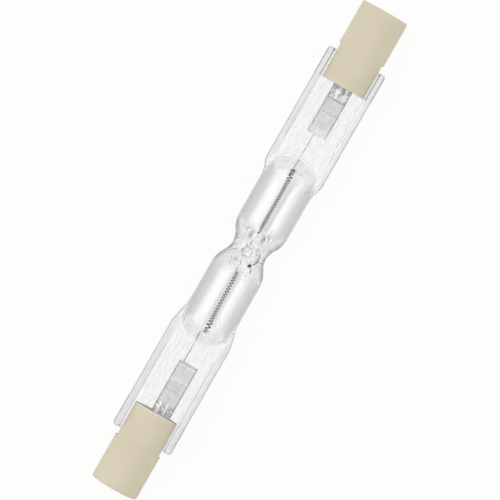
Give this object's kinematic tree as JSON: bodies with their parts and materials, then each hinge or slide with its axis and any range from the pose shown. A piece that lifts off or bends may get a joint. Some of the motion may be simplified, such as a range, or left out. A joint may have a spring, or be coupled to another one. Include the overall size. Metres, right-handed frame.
{
  "type": "linear halogen bulb",
  "caption": "Double-ended linear halogen bulb: waisted quartz tube with coiled filament, flat pinched ends and slotted ceramic caps with recessed contacts.",
  "frame": {"origin": "middle of the bulb on its long axis", "axes": "+X along the bulb towards the end with the narrower pinch, +Z out of the exhaust tip, square to the flat pinches"},
  "size_m": [0.078, 0.0096, 0.0078],
  "materials": {
    "quartz_glass": "polished",
    "tungsten": "satin",
    "molybdenum_foil": "satin",
    "molybdenum_lead": "satin",
    "cap_ceramic": "matte",
    "contact_metal": "satin",
    "white_cement": "matte"
  },
  "bodies": {
    "root": {"envelope": "quartz_glass", "filament": "tungsten", "foil_right": "molybdenum_foil", "outer_lead_right": "molybdenum_lead", "cap_right": "cap_ceramic", "contact_right": "contact_metal", "cement_right": "white_cement", "foil_left": "molybdenum_foil", "outer_lead_left": "molybdenum_lead", "cap_left": "cap_ceramic", "contact_left": "contact_metal", "cement_left": "white_cement"}
  },
  "joints": []
}
